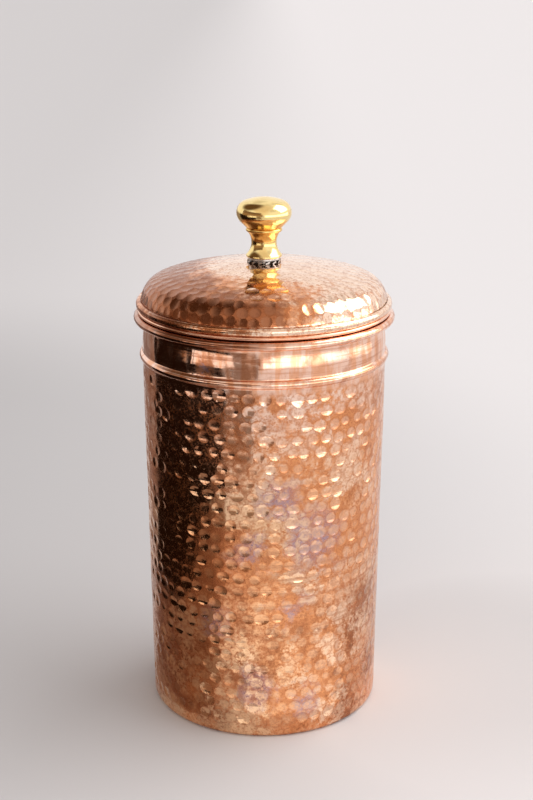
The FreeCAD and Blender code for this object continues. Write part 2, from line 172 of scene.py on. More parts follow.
def wall_outline():
    """Closed outline of the wall sheet, with the first and last row of the hammered part."""
    gauge = WALL_GAUGE
    inner_neck = NECK_RADIUS - gauge
    foot = (FOOT_RADIUS - FOOT_CORNER, FOOT_CORNER)
    across = math.cos(math.radians(BEAD_ANGLE))
    rise = (BEAD_CREST + BEAD_ROOT) * math.sin(math.radians(BEAD_ANGLE))
    root_x = NECK_RADIUS + BEAD_ROOT
    crest = (root_x - (BEAD_CREST + BEAD_ROOT) * across, BEAD_HEIGHT)
    low_root = (root_x, BEAD_HEIGHT - rise)
    high_root = (root_x, BEAD_HEIGHT + rise)
    lean = math.radians(FLARE_ANGLE)
    flare_x = inner_neck + FLARE_BEND
    drop = FLARE_BEND - RIM_ROLL - (flare_x - RIM_RADIUS) * math.cos(lean)
    flare = (flare_x, RIM_HEIGHT - drop / math.sin(lean))
    roll = (RIM_RADIUS, RIM_HEIGHT)
    into_roll = 180.0 - FLARE_ANGLE
    edge = RIM_EDGE_ANGLE - 360.0

    bead_out = [arc(low_root, BEAD_ROOT, 180, 180 - BEAD_ANGLE, 4),
                arc(crest, BEAD_CREST, -BEAD_ANGLE, BEAD_ANGLE, 12),
                arc(high_root, BEAD_ROOT, 180 + BEAD_ANGLE, 180, 4)]
    bead_in = [arc(high_root, BEAD_ROOT + gauge, 180, 180 + BEAD_ANGLE, 4),
               arc(crest, BEAD_CREST - gauge, BEAD_ANGLE, -BEAD_ANGLE, 8),
               arc(low_root, BEAD_ROOT + gauge, 180 - BEAD_ANGLE, 180, 4)]
    runs = [line((FOOT_LIP_RADIUS, 0.0), (foot[0], 0.0), 2),
            arc(foot, FOOT_CORNER, -90, 0, 8),
            line((FOOT_RADIUS, FOOT_CORNER), (NECK_RADIUS, low_root[1]), WALL_ROWS)]
    hammered = len(runs) - 1
    runs += bead_out
    runs.append(line((NECK_RADIUS, high_root[1]), (NECK_RADIUS, flare[1]), NECK_ROWS))
    runs.append(arc(flare, FLARE_BEND - gauge, 180, into_roll, 3))
    runs.append(arc(roll, RIM_ROLL - gauge, into_roll, edge, 12))
    runs.append(arc(roll, RIM_ROLL, edge, into_roll, 28))
    runs.append(arc(flare, FLARE_BEND, into_roll, 180, 3))
    runs.append(line((inner_neck, flare[1]), (inner_neck, high_root[1]), 2))
    runs += bead_in
    runs.append(line((inner_neck, low_root[1]), (FOOT_RADIUS - gauge, FOOT_CORNER), 8))
    runs.append(arc(foot, FOOT_CORNER - gauge, 0, -90, 4))
    runs.append(line((foot[0], gauge), (FOOT_LIP_RADIUS, gauge), 1))
    points, starts = join(runs)
    return points, starts[hammered], starts[hammered + 1]


def lid_outline():
    """Closed outline of the dome sheet, with the first and last row of the hammered part."""
    gauge = LID_GAUGE
    crown_z = SEAT_HEIGHT - math.sqrt(CROWN_RADIUS ** 2 - SEAT_RADIUS ** 2)
    corner_x = LID_RADIUS - LID_CORNER
    reach = CROWN_RADIUS - LID_CORNER
    corner = (corner_x, crown_z + math.sqrt(reach ** 2 - corner_x ** 2))
    crown = (0.0, crown_z)
    tangent = math.degrees(math.acos(corner_x / reach))
    seat = math.degrees(math.acos(SEAT_RADIUS / CROWN_RADIUS))
    roll = (LID_RADIUS + LID_ROLL_SPACE, DOME_LOW[2] + LID_ROLL)
    roll_high = (roll[0], roll[1] + LID_ROLL_FLAT)

    crown_steps = round(math.radians(seat - tangent) * CROWN_RADIUS / LID_CELL)
    corner_steps = round(math.radians(tangent) * LID_CORNER / LID_CELL)
    runs = [line((LID_HOLE, SEAT_HEIGHT), (SEAT_RADIUS, SEAT_HEIGHT), 5),
            arc(crown, CROWN_RADIUS, seat, tangent, crown_steps),
            arc(corner, LID_CORNER, tangent, 0, corner_steps)]
    runs.append(line((LID_RADIUS, corner[1]), (LID_RADIUS, roll[1]), 2))
    runs.append(arc(roll, LID_ROLL_SPACE, 180, 360, 8))
    runs.append(arc(roll_high, LID_ROLL_SPACE, 0, LID_EDGE_ANGLE, 6))
    runs.append(arc(roll_high, LID_ROLL, LID_EDGE_ANGLE, 0, 14))
    runs.append(arc(roll, LID_ROLL, 360, 180, 18))
    runs.append(line((LID_RADIUS - gauge, roll[1]), (LID_RADIUS - gauge, corner[1]), 1))
    runs.append(arc(corner, LID_CORNER - gauge, 0, tangent, 8))
    runs.append(arc(crown, CROWN_RADIUS - gauge, tangent, seat, 8))
    runs.append(line((SEAT_RADIUS, SEAT_HEIGHT - gauge), (LID_HOLE, SEAT_HEIGHT - gauge), 1))
    points, starts = join(runs)
    last_row = len(points) - 1
    return points[::-1], last_row - starts[3], last_row - starts[1]


def collar_outline():
    """Closed outline of the collar: sleeve, bend, flange and the hem folded back over it."""
    gauge = COLLAR_GAUGE
    hem = (COLLAR_HIGH[0] - HEM_RADIUS, COLLAR_HIGH[2] - HEM_RADIUS)
    bend = (COLLAR_RADIUS + COLLAR_BEND, COLLAR_HIGH[2] - 2 * HEM_RADIUS - COLLAR_BEND)
    runs = [line((COLLAR_RADIUS, COLLAR_LOW[2]), (COLLAR_RADIUS, bend[1]), 6),
            arc(bend, COLLAR_BEND, 180, 90, 6),
            arc(hem, HEM_RADIUS, -90, 90, 24),
            line((HEM_END, COLLAR_HIGH[2]), (HEM_END, COLLAR_HIGH[2] - gauge), 1),
            arc(hem, HEM_RADIUS - gauge, 90, -90, 6),
            arc(bend, COLLAR_BEND + gauge, 90, 180, 6),
            line((COLLAR_RADIUS - gauge, bend[1]), (COLLAR_RADIUS - gauge, COLLAR_LOW[2]), 2)]
    return join(runs)[0]


# ------------------------------------------------------------------ hammering

def smooth(value, low, high):
    """0 at low, 1 at high and an even S between; high may be the smaller."""
    share = np.clip((value - low) / (high - low), 0, 1)
    return share * share * (3 - 2 * share)


def wavy(theta, run, seed, waves, around, along):
    """Smooth unevenness, periodic around: a few summed sines with seeded phases."""
    draw = np.random.default_rng(seed)
    total = np.zeros(np.broadcast(theta, run).shape)
    for _ in range(waves):
        turns = draw.integers(1, around)
        pitch = draw.uniform(0.25, 1.0) * along
        phase = draw.uniform(0, 2 * math.pi, 2)
        around_wave = np.sin(turns * theta + phase[0])
        total = total + around_wave * np.cos(2 * math.pi * run / pitch + phase[1])
    return total / math.sqrt(waves)


def wall_blows(low, high):
    """Centres and shapes of the blows on the wall: staggered rows with a hand's unevenness."""
    draw = np.random.default_rng(11)
    blows = []
    for row in range(BLOW_ROWS):
        height = low + (high - low) * row / (BLOW_ROWS - 1)
        count = BLOWS_AROUND + draw.integers(-1, 2)
        start = draw.uniform(0, 1) * 0.35 + 0.5 * (row % 2)
        for column in range(count):
            theta = 2 * math.pi * (column + start + draw.normal(0, PITCH_SCATTER)) / count
            wave = ROW_WAVE * math.sin(2 * theta + 0.25 * row)
            drift = wave + ROW_RIPPLE * math.sin(5 * theta + row)
            run = height + drift + draw.normal(0, ROW_SCATTER)
            radius = BLOW_RADIUS * draw.normal(1.0, SIZE_SPREAD)
            force = min(1.4, max(0.15, draw.normal(0.95, DEPTH_SPREAD)))
            depth = BLOW_DEPTH * force * (radius / BLOW_RADIUS) ** 2
            if draw.random() < MISSED_BLOWS:
                continue
            blows.append((theta, run, radius, depth, draw.uniform(0.86, 1.02)))
    for _ in range(STRAY_BLOWS):
        theta = draw.uniform(0, 2 * math.pi)
        run = draw.uniform(low - 2 * MM, high)
        radius = BLOW_RADIUS * draw.uniform(0.55, 1.0)
        depth = BLOW_DEPTH * draw.uniform(0.15, 0.6) * (radius / BLOW_RADIUS) ** 2
        blows.append((theta, run, radius, depth, draw.uniform(0.8, 1.2)))
    return blows


def lid_blows(radius_of, first, last):
    """Centres and shapes of the blows on the lid, in rings.

    The rings are closer on the flank, wider and fainter on the crown.
    """
    draw = np.random.default_rng(23)
    blows = []
    run = first + 2.6 * MM
    ring = 0
    crown = last - first - math.pi / 2 * LID_CORNER
    while run < last - 1.5 * MM:
        crown_share = min(1.0, max(0.0, 1 - (last - run) / crown)) ** 0.8
        flank_share = max(0.0, 1 - (run - first) / (last - first - crown))
        size = 1 - FLANK_CLOSER * flank_share + CROWN_WIDER * crown_share
        pitch = LID_BLOW_PITCH * size
        count = max(5, round(2 * math.pi * radius_of(run) / pitch))
        for step in range(count):
            place_in_ring = step + 0.5 * (ring % 2) + draw.normal(0, 0.09)
            theta = 2 * math.pi * place_in_ring / count + 0.3 * ring
            radius = LID_BLOW_RADIUS * draw.normal(1.0, 0.07) * size
            force = max(0.35, draw.normal(1.0, 0.22))
            depth = LID_BLOW_DEPTH * force * (1 - CROWN_FAINTER * crown_share)
            place = run + draw.normal(0, 0.07) * pitch
            blows.append((theta, place, radius, depth, draw.uniform(0.95, 1.08)))
        run += pitch * 0.86
        ring += 1
    return blows


def strongest(theta, run, radius_of, blows, row_runs, columns):
    """At each grid point the two deepest of the sheet's own face (zero) and all the blows.

    Each blow is a shallow paraboloid. Returns both values and both slopes.
    """
    shape = theta.shape
    best = [np.zeros(shape), np.zeros(shape), np.zeros(shape)]
    second = [np.full(shape, -1e9), np.zeros(shape), np.zeros(shape)]
    margin = 0.6 * MM
    for centre, place, radius, depth, stretch in blows:
        near = radius_of(place)
        reach = BLOW_REACH * radius + margin
        rows = np.nonzero(np.abs(row_runs - place) < reach)[0]
        if not len(rows):
            continue
        wanted = int(math.ceil(reach / near / (2 * math.pi) * columns)) + 1
        half = min(columns // 2 - 1, wanted)
        middle = int(round(centre / (2 * math.pi) * columns))
        cols = np.arange(middle - half, middle + half + 1) % columns
        window = np.ix_(rows, cols)
        across = (theta[window] - centre + math.pi) % (2 * math.pi) - math.pi
        across = across * near * stretch
        along = (run[window] - place) / stretch
        value = depth * (1 - (across ** 2 + along ** 2) / radius ** 2)
        slope_across = -2 * depth / radius ** 2 * across * stretch
        slope_along = -2 * depth / radius ** 2 * along / stretch
        fresh = (value, slope_across, slope_along)
        top = value > best[0][window]
        next_best = ~top & (value > second[0][window])
        for index in range(3):
            held = best[index][window]
            spare = second[index][window]
            spare = np.where(top, held, np.where(next_best, fresh[index], spare))
            second[index][window] = spare
            best[index][window] = np.where(top, fresh[index], held)
    return best, second


def hammered_zone(radii, runs, columns, blows, cell):
    """Grid angles, runs and depths of a hammered stretch, with points moved onto the creases."""
    theta = np.tile(np.arange(columns) * 2 * math.pi / columns, (len(runs), 1))
    run = np.tile(runs[:, None], (1, columns))

    def radius_of(place):
        """Radius of the sheet at a place along its outline."""
        return float(np.interp(place, runs, radii))

    best, second = strongest(theta, run, radius_of, blows, runs, columns)
    gap = best[0] - second[0]
    lean = (best[1] - second[1], best[2] - second[2])
    steep = lean[0] ** 2 + lean[1] ** 2
    with np.errstate(divide="ignore", invalid="ignore"):
        distance = gap / np.sqrt(steep)
    spacing = np.minimum(cell, 2 * math.pi * radii / columns)[:, None]
    move = (distance < 0.46 * spacing) & (steep > 1e-6)
    move[:2] = False
    move[-2:] = False
    factor = np.where(move, gap / np.where(steep > 0, steep, 1.0), 0.0)
    theta = theta - factor * lean[0] / radii[:, None]
    run = run - factor * lean[1]
    best, second = strongest(theta, run, radius_of, blows, runs, columns)
    nearest_blow = np.where(best[0] > 0, best[0], second[0])
    return theta, run, best[0], nearest_blow, move


# ------------------------------------------------------------------ sheets

def revolved(outline, columns):
    """Grids of angle, radius and height for an outline turned about the axis."""
    theta = np.tile(np.arange(columns) * 2 * math.pi / columns, (len(outline), 1))
    radius = np.tile(outline[:, :1], (1, columns))
    height = np.tile(outline[:, 1:], (1, columns))
    return theta, radius, height


def grid_points(theta, radius, height):
    """Points of a revolved grid, row by row."""
    points = [radius * np.cos(theta), radius * np.sin(theta), height]
    return np.stack(points, axis=-1).reshape(-1, 3)


def grid_faces(rows, columns):
    """Corners of the grid's faces; the last row joins the first, and the last column the first."""
    here = np.arange(rows * columns).reshape(rows, columns)
    right = np.roll(here, -1, axis=1)
    corners = [here, right, np.roll(right, -1, axis=0), np.roll(here, -1, axis=0)]
    return np.stack(corners, axis=-1).reshape(-1, 4)


def cut_faces(faces, crease):
    """Two triangles for each face, cut along a crease that crosses it."""
    flags = crease.reshape(-1)[faces]
    rising = (flags[:, 0] & flags[:, 2] & ~(flags[:, 1] & flags[:, 3]))[:, None]
    return np.concatenate([np.where(rising, faces[:, [0, 1, 2]], faces[:, [0, 1, 3]]),
                           np.where(rising, faces[:, [0, 2, 3]], faces[:, [1, 2, 3]])])


def make_piece(name, vertices, groups):
    """Smooth-shaded object from points and groups of faces with equal numbers of corners."""
    loops = np.concatenate([faces.reshape(-1) for faces in groups])
    sizes = np.concatenate([np.full(len(faces), faces.shape[1]) for faces in groups])
    mesh = bpy.data.meshes.new(name)
    mesh.vertices.add(len(vertices))
    mesh.vertices.foreach_set("co", vertices.reshape(-1))
    mesh.loops.add(len(loops))
    mesh.loops.foreach_set("vertex_index", loops.astype(np.int32))
    mesh.polygons.add(len(sizes))
    mesh.polygons.foreach_set("loop_start", (np.cumsum(sizes) - sizes).astype(np.int32))
    mesh.update(calc_edges=True)
    mesh.validate()
    mesh.shade_smooth()
    piece = bpy.data.objects.new(name, mesh)
    bpy.context.scene.collection.objects.link(piece)
    return piece


def sharp_edges(mesh, degrees):
    """Mark the edges that fold by more than an angle as sharp, and return the marks."""
    mesh.set_sharp_from_angle(angle=math.radians(degrees))
    marks = np.zeros(len(mesh.edges), dtype=bool)
    mesh.attributes["sharp_edge"].data.foreach_get("value", marks)
    return marks


def mark_creases(mesh, first, last, columns):
    """Sharp edges: fine folds only inside the hammered rows, large ones everywhere."""
    broad = sharp_edges(mesh, FOLD_ANGLE)
    fine = sharp_edges(mesh, CREASE_ANGLE)
    ends = np.zeros(len(mesh.edges) * 2, dtype=np.int32)
    mesh.edges.foreach_get("vertices", ends)
    row_of = ends.reshape(-1, 2) // columns
    inside = ((row_of > first) & (row_of < last)).all(axis=1)
    mesh.attributes["sharp_edge"].data.foreach_set("value", broad | (fine & inside))


def hammered_sheet(name, outline, first, last, columns, blows, cell, dents):
    """Closed revolved sheet whose rows first..last carry the blows.

    Its "hollow" attribute is 1 at the depth of a common blow and -1 far from any.
    """
    steps = np.linalg.norm(np.diff(outline, axis=0), axis=1)
    along = np.concatenate([[0.0], np.cumsum(steps)])
    theta, radius, height = revolved(outline, columns)
    hollow = np.full(theta.shape, -BLOW_DEPTH)
    crease = np.zeros(theta.shape, dtype=bool)

    def at(runs, values):
        """Values given for the outline's points, at other runs along it."""
        return np.interp(runs, along, values)

    zone = slice(first, last + 1)
    placed = blows(along[first], along[last], lambda run: float(at(run, outline[:, 0])))
    theta[zone], runs, depth, hollow[zone], crease[zone] = hammered_zone(
        outline[zone, 0], along[zone], columns, placed, cell)
    tangent = np.gradient(outline, axis=0)
    tangent /= np.linalg.norm(tangent, axis=1)[:, None]
    radius[zone] = at(runs, outline[:, 0]) - depth * at(runs, tangent[:, 1])
    height[zone] = at(runs, outline[:, 1]) - depth * at(runs, -tangent[:, 0])
    radius = radius + dents(theta, height, outline[:, :1])

    faces = grid_faces(*theta.shape)
    in_zone = np.zeros(len(outline), dtype=bool)
    in_zone[first:last] = True
    in_zone = np.repeat(in_zone, columns)
    groups = [cut_faces(faces[in_zone], crease), faces[~in_zone]]
    piece = make_piece(name, grid_points(theta, radius, height), groups)
    mark_creases(piece.data, first, last, columns)
    mark = piece.data.attributes.new("hollow", "FLOAT", "POINT")
    share = np.clip(hollow / BLOW_DEPTH, -1, 2)
    mark.data.foreach_set("value", share.reshape(-1).astype(np.float32))
    return piece


def make_wall():
    """The canister's wall: hammered, slightly uneven, with a planished neck that draws in."""
    outline, first, last = wall_outline()
    cell = (BEAD_HEIGHT - FOOT_CORNER) / WALL_ROWS

    def blows(start, end, radius_of):
        """Blows between two heights; the outline's run there grows with the height."""
        return wall_blows(start + BLOW_LOW - FOOT_CORNER, start + BLOW_HIGH - FOOT_CORNER)

    def dents(theta, height, radius):
        """Unevenness of both faces, and the planishing of the outer one."""
        broad = 0.09 * MM * wavy(theta, height, seed=3, waves=9, around=9, along=0.09)
        close = 0.045 * MM * wavy(theta, height, seed=4, waves=12, around=22, along=0.03)
        uneven = (broad + close) * np.clip(height / (6 * MM), 0, 1)
        outer = radius > NECK_RADIUS - 0.5 * WALL_GAUGE
        above_bead = np.clip((height - BEAD_HEIGHT) / (RIM_HEIGHT - BEAD_HEIGHT), 0, 1)
        facets = 0.09 * MM * wavy(theta, height, seed=6, waves=16, around=80, along=0.10)
        planished = facets * np.sin(np.pi * above_bead)
        into_neck = smooth(height, NECK_LEAN_LOW, NECK_LEAN_HIGH)
        drawn_in = into_neck * smooth(height, RIM_HEIGHT, NECK_LEAN_HIGH)
        return uneven + np.where(outer, planished - NECK_LEAN * drawn_in, 0.0)

    return hammered_sheet("body_wall_hammered", outline, first, last, WALL_COLUMNS, blows,
                          cell, dents)


def make_lid():
    """The lid's dome, hammered and a little uneven."""
    outline, first, last = lid_outline()

    def blows(start, end, radius_of):
        """Blows from the flank to the seat of the knob."""
        return lid_blows(radius_of, start, end)

    def dents(theta, height, radius):
        """Unevenness of the whole sheet."""
        return 0.04 * MM * wavy(theta, height, seed=5, waves=9, around=12, along=0.03)

    return hammered_sheet("lid_dome_hammered", outline, first, last, LID_COLUMNS, blows,
                          LID_CELL, dents)


def make_collar():
    """The lid's collar as one smooth revolved sheet."""
    outline = collar_outline()
    grid = revolved(outline, COLLAR_COLUMNS)
    piece = make_piece("lid_collar_sheet", grid_points(*grid), [grid_faces(*grid[0].shape)])
    sharp_edges(piece.data, FOLD_ANGLE)
    return piece


# ------------------------------------------------------------------ materials

class Nodes:
    """Adds and wires shader nodes in one tree; place is what their patterns are laid out in."""

    def __init__(self, tree, coordinates):
        self.tree = tree
        self.place = tree.nodes.new("ShaderNodeTexCoord").outputs[coordinates]

    def link(self, source, target):
        """Wire an output to an input."""
        self.tree.links.new(source, target)

    def feed(self, socket, value):
        """Give an input a number, a colour or another node's output."""
        if isinstance(value, (int, float)):
            socket.default_value = value
        elif isinstance(value, tuple):
            socket.default_value = value + (1.0,)
        else:
            self.link(value, socket)

    def scaled(self, scale, turn=(0.0, 0.0, 0.0)):
        """The place stretched and turned."""
        node = self.tree.nodes.new("ShaderNodeMapping")
        node.inputs["Scale"].default_value = scale
        node.inputs["Rotation"].default_value = turn
        self.link(self.place, node.inputs["Vector"])
        return node.outputs[0]

    def noise(self, scale, detail=3.0, rough=0.55, warp=0.0, vector=None):
        """Noise from 0 to 1."""
        node = self.tree.nodes.new("ShaderNodeTexNoise")
        node.inputs["Scale"].default_value = scale
        node.inputs["Detail"].default_value = detail
        node.inputs["Roughness"].default_value = rough
        node.inputs["Distortion"].default_value = warp
        self.link(vector or self.place, node.inputs["Vector"])
        return node.outputs[0]

    def ramp(self, source, low, high, bottom=0.0, top=1.0):
        """Bottom where the source is at low, top where it is at high, and an even S between."""
        node = self.tree.nodes.new("ShaderNodeMapRange")
        node.interpolation_type = "SMOOTHSTEP"
        node.inputs["From Min"].default_value = low
        node.inputs["From Max"].default_value = high
        node.inputs["To Min"].default_value = bottom
        node.inputs["To Max"].default_value = top
        self.link(source, node.inputs["Value"])
        return node.outputs[0]

    def math(self, kind, first, second):
        """Sum, product or other combination of two values."""
        node = self.tree.nodes.new("ShaderNodeMath")
        node.operation = kind
        self.feed(node.inputs[0], first)
        self.feed(node.inputs[1], second)
        return node.outputs[0]

    def times(self, first, second):
        """Product of two values."""
        return self.math("MULTIPLY", first, second)

    def weigh(self, *parts):
        """Sum of (value, weight) pairs."""
        total = 0.0
        for value, weight in parts:
            total = self.math("ADD", total, self.times(value, weight))
        return total

    def mix(self, factor, first, second):
        """Colour between two colours."""
        node = self.tree.nodes.new("ShaderNodeMix")
        node.data_type = "RGBA"
        sockets = [item for item in node.inputs if item.type == "RGBA"]
        self.feed(node.inputs[0], factor)
        self.feed(sockets[0], first)
        self.feed(sockets[1], second)
        return [item for item in node.outputs if item.type == "RGBA"][0]

    def blend(self, factor, first, second):
        """Value between two values."""
        node = self.tree.nodes.new("ShaderNodeMix")
        self.link(factor, node.inputs[0])
        self.link(first, node.inputs[2])
        self.link(second, node.inputs[3])
        return node.outputs[0]

    def attribute(self, name):
        """A value stored on the mesh's points."""
        node = self.tree.nodes.new("ShaderNodeAttribute")
        node.attribute_name = name
        return node.outputs["Fac"]

    def measured(self, operation, vector):
        """Value that a vector operation gives for the place and a fixed vector."""
        node = self.tree.nodes.new("ShaderNodeVectorMath")
        node.operation = operation
        node.inputs[1].default_value = vector
        self.link(self.place, node.inputs[0])
        return node.outputs["Value"]

    def dot(self, direction):
        """Place measured along a direction."""
        return self.measured("DOT_PRODUCT", direction)

    def distance(self, centre):
        """Distance of the place from a point."""
        return self.measured("DISTANCE", centre)


class Surface(Nodes):
    """A material with one principled shader, laid out in the object's own coordinates."""

    def __init__(self, name, metallic=1.0):
        self.material = bpy.data.materials.new(name)
        self.material.use_nodes = True
        tree = self.material.node_tree
        tree.nodes.clear()
        super().__init__(tree, "Object")
        self.shader = tree.nodes.new("ShaderNodeBsdfPrincipled")
        self.shader.inputs["Metallic"].default_value = metallic
        output = tree.nodes.new("ShaderNodeOutputMaterial")
        self.link(self.shader.outputs[0], output.inputs["Surface"])
        self.up = self.dot((0.0, 0.0, 1.0))

    def bump(self, height, strength, distance):
        """Relief too fine for the mesh."""
        node = self.tree.nodes.new("ShaderNodeBump")
        node.inputs["Strength"].default_value = strength
        node.inputs["Distance"].default_value = distance
        self.link(height, node.inputs["Height"])
        self.link(node.outputs[0], self.shader.inputs["Normal"])

    def colour(self, source):
        """Wire up the base colour."""
        self.link(source, self.shader.inputs["Base Color"])

    def roughness(self, source):
        """Wire up the roughness."""
        self.link(source, self.shader.inputs["Roughness"])


PALE_COPPER = (0.99, 0.73, 0.59)
GOLDEN_COPPER = (0.99, 0.63, 0.37)
ORANGE_COPPER = (0.84, 0.35, 0.145)
RUSSET_COPPER = (0.54, 0.20, 0.09)
BROWN_COPPER = (0.27, 0.085, 0.036)
VIOLET_COPPER = (0.42, 0.29, 0.34)
NECK_COPPER = (0.97, 0.66, 0.52)
CREAM_COPPER = (0.98, 0.73, 0.55)
BRASS = (0.96, 0.74, 0.32)
DARK_BRASS = (0.82, 0.46, 0.10)
STEEL = (0.62, 0.60, 0.58)
WIRE_STEEL = (0.45, 0.44, 0.43)
FINE_RELIEF = 0.04 * MM

# heights between which the skins change
TURNING_FOOT = (35 * MM, 55 * MM)
TURNING_TOP = (100 * MM, 75 * MM)
NECK_START = (162.5 * MM, 165.5 * MM)
# band under the rim where painted shade browns the neck on the left
PAINTED_RIM_SHADE = (182.5 * MM, 186 * MM)
LID_ROLL_TOP = (193.8 * MM, 193 * MM)
LID_SHOULDER = (205 * MM, 196.5 * MM)
LID_CROWN = (203 * MM, 208 * MM)
LID_OUTLINES = (200 * MM, 206 * MM)
WAIST_FOOT = (216.5 * MM, 220 * MM)
WAIST_TOP = (230 * MM, 226.5 * MM)

# sides of the object, as directions from its axis, on which the skins differ: the copper is painted
# paler as sheen on the right, and browner as painted shade on the left and front left
PAINTED_SHEEN_SIDE = (0.90, -0.43, 0.0)
PAINTED_SHADE_SIDE = (-0.95, -0.31, 0.0)
PAINTED_SHADE_FRONT = (-0.72, -0.69, 0.0)

# patches on the wall: azimuth in degrees (0 is the front), height and radius in mm
VIOLET_PATCHES = ((25, 95, 14), (8, 116, 8), (-7, 91, 10), (-3, 26, 10), (-26, 56, 7), (20, 17, 8),
                  (12, 62, 8), (140, 70, 15), (-150, 110, 13), (-95, 60, 10))
BROWN_PATCHES = ((-56, 34, 22), (-28, 12, 8), (44, 14, 8), (68, 22, 10), (20, 55, 6), (5, 50, 5),
                 (120, 30, 16), (175, 24, 20), (-130, 40, 16))
PALE_PATCHES = ((-18, 37, 8), (-36, 24, 7), (-40, 50, 8), (11, 36, 9), (-9, 8, 8), (34, 12, 9),
                (40, 42, 12), (14, 147, 18), (-8, 110, 11), (39, 130, 13), (8, 100, 7), (20, 80, 8),
                (100, 120, 16), (-160, 60, 15), (150, 140, 15))


class Copper(Surface):
    """Hammered copper: tarnished orange between the blows, burnished paler inside them, partly as
    painted sheen, with a russet edge partly as painted shade.
    """

    def __init__(self, name):
        super().__init__(name)
        self.grain = self.noise(1100.0, 3.0, 0.7)
        self.fine = self.noise(520.0, 4.0, 0.7)
        self.medium = self.noise(95.0, 5.0, 0.65)
        self.large = self.noise(24.0, 4.0, 0.6, 0.3)
        self.stains = self.noise(33.0, 5.0, 0.62, 0.5,
                                 self.scaled((1.0, 1.0, 0.8), (0.4, 0.2, 0.9)))
        self.hollow = self.attribute("hollow")
        self.inside = self.ramp(self.hollow, 0.02, 0.50)

    def patches(self, places, wobble):
        """Ragged round patches on the wall, 1 inside and 0 outside."""
        total = None
        for azimuth, height, radius in places:
            turn = math.radians(azimuth)
            centre = (FOOT_RADIUS * math.sin(turn), -FOOT_RADIUS * math.cos(turn), height * MM)
            away = self.math("ADD", self.distance(centre), wobble)
            patch = self.ramp(away, 1.35 * radius * MM, 0.50 * radius * MM)
            total = patch if total is None else self.math("MAXIMUM", total, patch)
        return total

    def tarnished(self, clean, turned, brown, cloud, burnish, outline):
        """Colour and roughness of the hammered skin from its three kinds of tarnish.

        burnish is how much cleaner the metal is inside a blow, partly burnished metal and partly
        painted sheen; outline is how dark its edge is, partly russet tarnish and partly painted
        shade in the crease.
        """
        speck = self.weigh((self.grain, 0.50), (self.fine, 0.35), (self.medium, 0.15))
        speck = self.ramp(speck, 0.47, 0.58)
        base = self.mix(turned, clean, ORANGE_COPPER)
        base = self.mix(self.times(speck, 0.68), base, RUSSET_COPPER)
        base = self.mix(cloud, base, VIOLET_COPPER)
        base = self.mix(brown, base, BROWN_COPPER)
        # russet ring round each blow's edge: partly tarnish, partly painted shade in the crease
        ring = self.times(self.ramp(self.hollow, -0.55, -0.10), self.ramp(self.hollow, 0.12, -0.05))
        base = self.mix(self.times(ring, outline), base, RUSSET_COPPER)
        # paler inside the blows: partly burnished metal, partly painted sheen
        polished = self.times(self.inside, self.ramp(brown, 0.0, 1.0, burnish, 0.3 * burnish))
        base = self.mix(polished, base, clean)
        rough = self.weigh((turned, 0.07), (brown, 0.10), (cloud, 0.07), (speck, 0.17))
        rough = self.times(rough, self.ramp(self.inside, 0.0, 1.0, 1.0, 0.60))
        return base, self.math("ADD", rough, 0.075)

    def finish(self, base, rough):
        """Wire up the colour, the gloss and a fine grain."""
        self.colour(base)
        self.roughness(rough)
        height = self.math("ADD", self.fine, self.times(self.noise(230.0, 3.0), 1.4))
        self.bump(height, 0.25, FINE_RELIEF)
        return self.material


def wall_tarnish(skin):
    """The hammered part of the wall: browned near the foot, with heat-coloured clouds; painted
    sheen makes it paler on the right, painted shade a little browner on the left.
    """
    wobble = skin.weigh((skin.medium, 0.050), (skin.fine, 0.014), (skin.large, 0.020),
                        (1.0, -0.042))
    pale = skin.patches(PALE_PATCHES, wobble)
    # painted sheen: the side towards the window light is painted paler, and high up a little more
    # orange
    right = skin.ramp(skin.dot(PAINTED_SHEEN_SIDE), 0.022, 0.050)
    high_right = skin.times(right, skin.ramp(skin.up, 0.04, 0.09, 0.3, 1.0))
    turned = skin.weigh((skin.large, 0.42), (skin.medium, 0.32), (skin.fine, 0.26),
                        (pale, -0.09), (high_right, 0.05))
    turned = skin.ramp(turned, 0.385, 0.575)
    # painted shade: the left side is painted a little browner
    left = skin.ramp(skin.dot(PAINTED_SHADE_SIDE), 0.0, 0.05)
    brown = skin.weigh((skin.stains, 0.56), (skin.medium, 0.24), (skin.fine, 0.20),
                       (left, 0.03), (pale, -0.10))
    brown = skin.times(skin.ramp(brown, 0.48, 0.61), skin.ramp(skin.up, 0.03, 0.10, 0.78, 0.44))
    mottle = skin.ramp(skin.weigh((skin.medium, 0.5), (skin.fine, 0.5)), 0.42, 0.56, 0.25, 1.0)
    browned = skin.times(skin.patches(BROWN_PATCHES, wobble),
                         skin.ramp(mottle, 0.2, 1.0, 0.30, 0.85))
    brown = skin.math("MAXIMUM", brown, browned)
    cloud = skin.times(skin.patches(VIOLET_PATCHES, wobble), mottle)
    high = skin.ramp(skin.up, 0.10, 0.165)
    # paler towards the top, and paler still on the right as painted sheen
    paler = skin.math("MAXIMUM", high, skin.times(right, 0.45))
    clean = skin.mix(paler, GOLDEN_COPPER, PALE_COPPER)
    return skin.tarnished(clean, turned, brown, skin.times(cloud, 0.95), 0.32, 0.42)


def spun_lines(skin, base):
    """Faint russet lines around the wall below its middle, as from turning."""
    spun = skin.noise(60.0, 3.0, 0.6, 0.0, skin.scaled((0.3, 0.3, 14.0)))
    band = skin.times(skin.ramp(skin.up, *TURNING_FOOT), skin.ramp(skin.up, *TURNING_TOP))
    return skin.mix(skin.times(skin.ramp(spun, 0.50, 0.68, 0.0, 0.5), band), base, RUSSET_COPPER)


